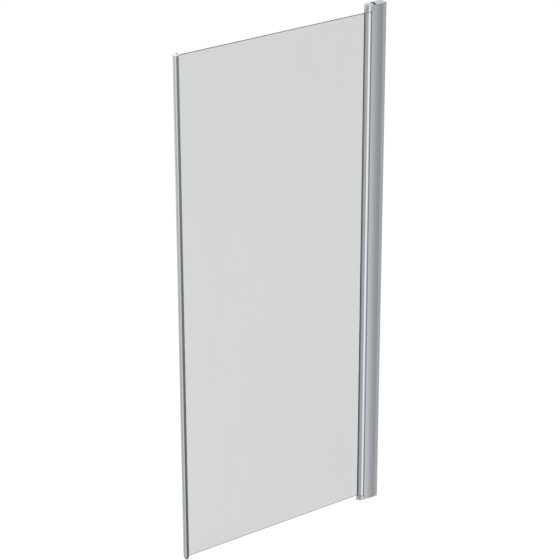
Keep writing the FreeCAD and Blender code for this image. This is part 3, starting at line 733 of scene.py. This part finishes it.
@dataclass
class GlassLeaf(Assembly):
    """The turning side: barrel, pins, pane, gaskets and the rounded free edge."""

    finishes: dict[str, Finish] = field(default_factory=lambda: {
        "pivot_profile": ALUMINIUM, "edge_profile": ETCHED_ALUMINIUM,
        "top_barrel_cap": GRAINED_ABS, "bottom_barrel_cap": GRAINED_ABS,
        "top_edge_cap": MOULDED_ABS, "bottom_edge_cap": GRAINED_ABS,
        "top_pivot_pin": STEEL, "bottom_pivot_pin": STEEL,
        "front_hinge_gasket": EPDM, "rear_hinge_gasket": EPDM,
        "front_grip_strip": EPDM, "rear_grip_strip": EPDM,
        "hinge_setting_pads": FOAM, "edge_tape": FOAM, "glass_pane": GLASS})
    gasket_swell: float = 0.3 * MM
    gasket_tip: float = 0.25 * MM
    gasket_groove: float = 0.2 * MM
    groove_place: float = 0.55
    groove_width: float = 0.05
    gasket_steps: int = 41
    jaw_length: float = 8.5 * MM
    jaw_outside: float = 4.8 * MM
    strip_corner: float = 1.5 * MM
    strip_root: float = 0.1 * MM
    strip_round: float = 0.3 * MM
    strip_tip: float = 0.4 * MM
    strip_spacing: float = 0.15 * MM
    rib_pitch: float = 1.5 * MM
    rib_depth: float = 0.25 * MM
    rib_margin: float = 0.01 * MM
    foot_share: float = 0.98
    foot_steps: int = 14
    tongue_start: float = 7.15 * MM
    cap_joint: float = 0.25 * MM
    pillow_draw: float = 0.4
    pillow_spacing: float = 0.3 * MM
    pillow_steps: int = 9
    dome_steps: int = 17
    around: int = 64
    half_around: int = 49
    round_end: tuple[float, float] = (2.0, 0.5)
    slanted_end: tuple[float, float] = (1.0, 0.8)

    def build(self) -> None:
        """Make the gaskets, the grip strips and the caps of the free edge."""
        for node in ("front_hinge_gasket", "rear_hinge_gasket"):
            self.gasket(node)
        for node in ("front_grip_strip", "rear_grip_strip"):
            self.strip(node)
        self.top_cap("top_edge_cap")
        self.bottom_cap("bottom_edge_cap")

    def gasket(self, node: str) -> None:
        """Make a glazing gasket with a rounded nose and a draw groove along it.

        From tip to slot the nose's height over the glass rises in a straight line plus a parabola, less a
        bell curve for the groove.

        Args:
            node: The solid that the gasket takes the place of.
        """
        low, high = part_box(node)
        side = math.copysign(1, low.y + high.y)
        face, wall = sorted((abs(low.y), abs(high.y)))
        nose_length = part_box("pivot_profile")[0].x - low.x
        share = np.linspace(0, 1, self.gasket_steps)
        rise = self.gasket_tip + (wall - face - self.gasket_tip) * share
        swell = 4 * self.gasket_swell * share * (1 - share)
        groove = self.gasket_groove * np.exp(-((share - self.groove_place) / self.groove_width) ** 2)
        nose = np.stack([low.x + nose_length * share, face + rise + swell - groove], axis=1)
        back = np.array([[high.x, wall], [high.x, face], [low.x + self.gasket_tip, face]])
        outline = np.concatenate([nose, back]) * np.array([1, side])
        points, faces = extruded(outline, low.z, high.z)
        name = node.replace("hinge", "wedge")
        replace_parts(new_piece(name, points, faces, Body.DOOR, EPDM), node)

    def strip(self, node: str) -> None:
        """Make a ribbed grip strip with a rounded foot, and behind the top cap with a tongue.

        The outline is an L with round corners, whose outer face falls by a cosine wave between the ribs. At
        the foot the outline draws in towards the nose along an arc, and in the tongue it starts beyond the
        cap. On the room side the cap covers the strip, so the strip ends under it.

        Args:
            node: The solid that the strip takes the place of.
        """
        low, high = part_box(node)
        side = math.copysign(1, low.y + high.y)
        inside, outside = sorted((abs(low.y), abs(high.y)))
        reach = high.x - low.x
        corners = np.array([
            [0, self.jaw_outside], [0, outside], [reach, outside], [reach, inside],
            [self.jaw_length, inside], [self.jaw_length, self.jaw_outside]])
        radii = np.array([self.strip_root, self.strip_round, self.strip_corner, self.strip_tip,
                          self.strip_round, self.strip_round])
        x, y = evenly(rounded(corners, radii), self.strip_spacing).T
        wave = (1 - np.cos(2 * math.pi * x / self.rib_pitch)) / 2
        on_face = (y > outside - self.rib_margin) & (x < reach - self.strip_corner)
        y = y - self.rib_depth * np.where(on_face, wave, 0)
        edge_low, edge_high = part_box("edge_profile")
        foot_height = edge_low.z - low.z
        drop = np.linspace(self.foot_share, 0, self.foot_steps) * foot_height
        radius = (reach ** 2 + foot_height ** 2) / (2 * reach)
        drawn = 1 - (radius - np.sqrt(radius ** 2 - drop ** 2)) / reach
        foot = drawn[:, None] * x
        above = np.maximum(x, self.tongue_start)
        places = np.concatenate([foot, x[None], above[None], above[None]])
        heights = np.concatenate([edge_low.z - drop, [edge_high.z, edge_high.z, high.z]])
        if side < 0:
            places, heights = places[:-2], heights[:-2]
        outlines = np.stack([low.x + places, np.broadcast_to(side * y, places.shape)], axis=2)
        points, faces = stacked(outlines, heights)
        name = node.replace("grip", "ribbed")
        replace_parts(new_piece(name, points, faces, Body.DOOR, EPDM), node)

    def dome(self, seat: float, height: float, radius: float, middle: float, turn: np.ndarray,
             end: tuple[float, float]) -> tuple[np.ndarray, list[list[int]]]:
        """Return a domed end over a joint groove.

        Across, its radius falls with the share s of its height as the root of 1 - s ** 2. Along X it falls as
        (1 - s ** a) ** b, which is as round with a = 2 and b = 1/2, and a slant with a = 1 and b close to 1.

        Args:
            seat: The height of its flat side.
            height: How far it stands out, negative when it hangs.
            radius: Its radius at the seat.
            middle: The place of its axis along X.
            turn: Angles round its axis.
            end: The powers a and b.

        Returns:
            Points and faces.
        """
        share = np.sin(np.linspace(0, math.pi / 2, self.dome_steps))
        groove = self.cap_joint / abs(height)
        falls = np.stack([(1 - share ** end[0]) ** end[1], np.sqrt(1 - share ** 2)], axis=1)
        rings = np.concatenate([np.full((2, 2), radius - self.cap_joint), radius * falls])
        heights = seat + height * np.concatenate([[0, groove], np.maximum(share, groove)])
        circle = np.stack([np.cos(turn), np.sin(turn)], axis=1)
        outlines = rings[:, None] * circle + np.array([middle, 0])
        upwards = slice(None) if height > 0 else slice(None, None, -1)
        return stacked(outlines[upwards], heights[upwards])

    def top_cap(self, node: str) -> None:
        """Make the top end cap: a round dome over the nose and a pillow over the room-side strip.

        The pillow's outline draws in towards its middle as it rises, along a quarter ellipse.

        Args:
            node: The solid that the cap takes the place of.
        """
        low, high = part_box(node)
        strip_low, strip_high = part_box("front_grip_strip")
        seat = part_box("edge_profile")[1].z
        radius = (high.y - low.y) / 2
        middle = low.x + radius
        turn = np.linspace(0, 2 * math.pi, self.around, endpoint=False)
        points, faces = self.dome(seat, high.z - seat, radius, middle, turn, self.round_end)
        corners = np.array([[strip_low.x, strip_low.y], [strip_high.x, strip_low.y],
                            [strip_high.x, strip_high.y], [strip_low.x, strip_high.y]])
        flat = evenly(rounded(corners, np.full(len(corners), self.strip_corner)), self.pillow_spacing)
        rise = np.linspace(0, 1, self.pillow_steps)
        drawn = 1 - self.pillow_draw * (1 - np.sqrt(1 - rise ** 2))
        centre = corners.mean(axis=0)
        outlines = centre + drawn[:, None, None] * (flat - centre)
        pillow_points, pillow_faces = stacked(outlines, seat + (strip_high.z - seat) * rise)
        faces = faces + [[number + len(points) for number in face] for face in pillow_faces]
        points = np.concatenate([points, pillow_points])
        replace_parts(new_piece("top_edge_dome", points, faces, Body.DOOR, MOULDED_ABS), node)

    def bottom_cap(self, node: str) -> None:
        """Make the bottom end cap: half a dome, slanted along X, with its flat side towards the strips.

        Args:
            node: The solid that the cap takes the place of.
        """
        low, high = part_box(node)
        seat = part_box("edge_profile")[0].z
        radius = (high.y - low.y) / 2
        half = np.linspace(0.5, 1.5, self.half_around) * math.pi
        points, faces = self.dome(seat, low.z - seat, radius, low.x + radius, half, self.slanted_end)
        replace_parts(new_piece("bottom_edge_dome", points, faces, Body.DOOR, GRAINED_ABS), node)


@dataclass
class Studio:
    """Pale floor, soft light and the camera at the photograph's angle.

    Angles are in degrees, and the lens and the sensor in millimetres.
    """

    floor_drop: float = 0.1
    floor_reach: float = 40.0
    floor_colour: str = "#a4a4a4"
    floor_shade: str = "#6a6a6a"
    floor_glow: float = 0.955
    eye: tuple[float, float, float] = (-4.32545, -5.64896, 3.23152)
    azimuth: float = -34.71
    elevation: float = 24.97
    lens: float = 146.37
    sensor: float = 36.0
    roll: float = -0.055
    sight: float = 200.0
    screens: dict[float, float] = field(default_factory=lambda: {
        -180: 0.45, -145: 0.45, -137: 1.0, -103: 1.0, -95: 0.29, -37: 0.29, -30: 0.43, -24: 0.75, -20: 1.0,
        23: 1.0, 29: 0.45, 100: 0.45, 108: 1.0, 142: 1.0, 150: 0.45, 180: 0.45})
    screen_feet: dict[float, float] = field(default_factory=lambda: {
        -180: 0.45, -145: 0.45, -137: 1.0, -103: 1.0, -95: 0.29, -37: 0.29, -30: 0.4, -20: 0.6,
        23: 0.5, 29: 0.3, 180: 0.3})
    lean: float = 14.0
    eye_slope: float = -0.42
    feet_end: float = -0.75
    sky: float = 0.8
    sky_start: float = 0.0
    sky_end: float = 0.25
    ambient: float = 0.25
    lamp_energy: float = 145.0
    lamp_width: float = 2.4
    lamp_place: tuple[float, float, float] = (-1.9, -2.0, 3.0)
    lamp_aim: tuple[float, float, float] = (-0.4, 0.0, 0.0)
    white: str = "#ffffff"

    def build(self) -> None:
        """Set the whole studio up."""
        bpy.context.scene.view_settings.view_transform = "Standard"
        self.floor()
        self.world()
        self.lamp()
        self.camera()

    def floor(self) -> None:
        """Lay a pale floor below the column, white to the eye and through the glass."""
        low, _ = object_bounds()
        level = low.z - self.floor_drop
        reach = self.floor_reach
        corners = [(-reach, -reach, level), (reach, -reach, level),
                   (reach, reach, level), (-reach, reach, level)]
        mesh = bpy.data.meshes.new("floor")
        mesh.from_pydata(corners, [], [(0, 1, 2, 3)])
        floor = bpy.data.objects.new("floor", mesh)
        bpy.context.scene.collection.objects.link(floor)
        floor.visible_glossy = False
        floor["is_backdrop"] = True
        made = blank_material("pale floor")
        tree = made.node_tree
        lit = add_node(tree, "ShaderNodeBsdfDiffuse", inputs={"Color": linear(self.floor_colour)})
        shaded = add_node(tree, "ShaderNodeBsdfDiffuse", inputs={"Color": linear(self.floor_shade)})
        glow = add_node(tree, "ShaderNodeEmission",
                        inputs={"Color": linear(self.white), "Strength": self.floor_glow})
        pale = add_node(tree, "ShaderNodeAddShader",
                        links={0: shaded.outputs["BSDF"], 1: glow.outputs["Emission"]})
        both = add_node(tree, "ShaderNodeMixShader",
                        links={0: self.seen_directly(tree), 1: lit.outputs["BSDF"],
                               2: pale.outputs["Shader"]})
        add_node(tree, "ShaderNodeOutputMaterial", links={"Surface": both.outputs["Shader"]})
        mesh.materials.append(made)

    def seen_directly(self, tree: bpy.types.NodeTree) -> bpy.types.NodeSocket:
        """Tell rays from the eye or through glass from the rest.

        Args:
            tree: The node tree that needs to know.

        Returns:
            1 for those rays, and 0 for the rest.
        """
        path = add_node(tree, "ShaderNodeLightPath")
        either = add_node(tree, "ShaderNodeMath", operation="MAXIMUM",
                          links={0: path.outputs["Is Camera Ray"], 1: path.outputs["Is Transmission Ray"]})
        return either.outputs["Value"]

    def world(self) -> None:
        """Surround the door with white, and with tall white screens between grey ones in its reflections.

        The screens' levels run along a ramp over the bearing, which is 0 from the room and grows to the left.
        The screens lean, so that lower down they reach further right, and there a second ramp with darker
        ones on the left takes over. Above the horizon all is pale.
        """
        world = bpy.data.worlds.new("studio")
        bpy.context.scene.world = world
        world.use_nodes = True
        tree = world.node_tree
        tree.nodes.clear()
        place = add_node(tree, "ShaderNodeTexCoord")
        parts = add_node(tree, "ShaderNodeSeparateXYZ", links={"Vector": place.outputs["Generated"]})
        left = add_node(tree, "ShaderNodeMath", operation="MULTIPLY", inputs={1: -1.0},
                        links={0: parts.outputs["X"]})
        front = add_node(tree, "ShaderNodeMath", operation="MULTIPLY", inputs={1: -1.0},
                         links={0: parts.outputs["Y"]})
        angle = add_node(tree, "ShaderNodeMath", operation="ARCTAN2",
                         links={0: left.outputs["Value"], 1: front.outputs["Value"]})
        share = add_node(tree, "ShaderNodeMath", operation="MULTIPLY_ADD",
                         inputs={1: 1 / (2 * math.pi), 2: 0.5 + self.lean * self.eye_slope / 360},
                         links={0: angle.outputs["Value"]})
        leaning = add_node(tree, "ShaderNodeMath", operation="MULTIPLY_ADD", inputs={1: -self.lean / 360},
                           links={0: parts.outputs["Z"], 2: share.outputs["Value"]})
        ramps = [add_node(tree, "ShaderNodeValToRGB", links={"Fac": leaning.outputs["Value"]},
                          stops={(bearing + 180) / 360: level for bearing, level in levels.items()})
                 for levels in (self.screen_feet, self.screens)]
        upper = add_node(tree, "ShaderNodeMapRange", interpolation_type="SMOOTHSTEP",
                         inputs={"From Min": self.feet_end, "From Max": self.eye_slope},
                         links={"Value": parts.outputs["Z"]})
        screens = add_node(tree, "ShaderNodeMix", data_type="FLOAT",
                           links={MixIn.SHARE: upper.outputs["Result"],
                                  MixIn.LEVEL_A: ramps[0].outputs["Color"],
                                  MixIn.LEVEL_B: ramps[1].outputs["Color"]})
        sky = add_node(tree, "ShaderNodeMapRange", interpolation_type="SMOOTHSTEP",
                       inputs={"From Min": self.sky_start, "From Max": self.sky_end},
                       links={"Value": parts.outputs["Z"]})
        mirrored = add_node(tree, "ShaderNodeMix", data_type="FLOAT", inputs={MixIn.LEVEL_B: self.sky},
                            links={MixIn.SHARE: sky.outputs["Result"],
                                   MixIn.LEVEL_A: screens.outputs[MixOut.LEVEL]})
        path = add_node(tree, "ShaderNodeLightPath")
        level = add_node(tree, "ShaderNodeMix", data_type="FLOAT", inputs={MixIn.LEVEL_A: self.ambient},
                         links={MixIn.SHARE: path.outputs["Is Glossy Ray"],
                                MixIn.LEVEL_B: mirrored.outputs[MixOut.LEVEL]})
        strength = add_node(tree, "ShaderNodeMix", data_type="FLOAT", inputs={MixIn.LEVEL_B: 1.0},
                            links={MixIn.SHARE: self.seen_directly(tree),
                                   MixIn.LEVEL_A: level.outputs[MixOut.LEVEL]})
        glow = add_node(tree, "ShaderNodeBackground", inputs={"Color": linear(self.white)},
                        links={"Strength": strength.outputs[MixOut.LEVEL]})
        add_node(tree, "ShaderNodeOutputWorld", links={"Surface": glow.outputs["Background"]})

    def lamp(self) -> None:
        """Hang one broad soft lamp above the room side."""
        data = bpy.data.lights.new("soft_lamp", "AREA")
        data.shape = "DISK"
        data.size = self.lamp_width
        data.energy = self.lamp_energy
        lamp = bpy.data.objects.new("soft_lamp", data)
        lamp.location = self.lamp_place
        lamp.rotation_mode = "QUATERNION"
        lamp.rotation_quaternion = (Vector(self.lamp_aim) - lamp.location).to_track_quat("-Z", "Y")
        bpy.context.scene.collection.objects.link(lamp)

    def camera(self) -> None:
        """Place the camera where the photograph was taken from."""
        data = bpy.data.cameras.new("camera")
        data.lens = self.lens
        data.sensor_width = self.sensor
        data.clip_end = self.sight
        camera = bpy.data.objects.new("camera", data)
        turn, tilt = math.radians(self.azimuth), math.radians(self.elevation)
        back = Vector((math.sin(turn) * math.cos(tilt), -math.cos(turn) * math.cos(tilt), math.sin(tilt)))
        camera.location = self.eye
        camera.rotation_mode = "QUATERNION"
        upright = (-back).to_track_quat("-Z", "Y")
        camera.rotation_quaternion = Quaternion(back, math.radians(self.roll)) @ upright
        bpy.context.scene.collection.objects.link(camera)
        bpy.context.scene.camera = camera


def main() -> None:
    """Build the scene."""
    logging.basicConfig(level=logging.INFO, format="%(name)s %(message)s")
    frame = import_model()
    for assembly in (HingeColumn(frame), GlassLeaf(frame)):
        assembly.dress()
        assembly.build()
    Studio().build()


if __name__ == "__main__":
    main()
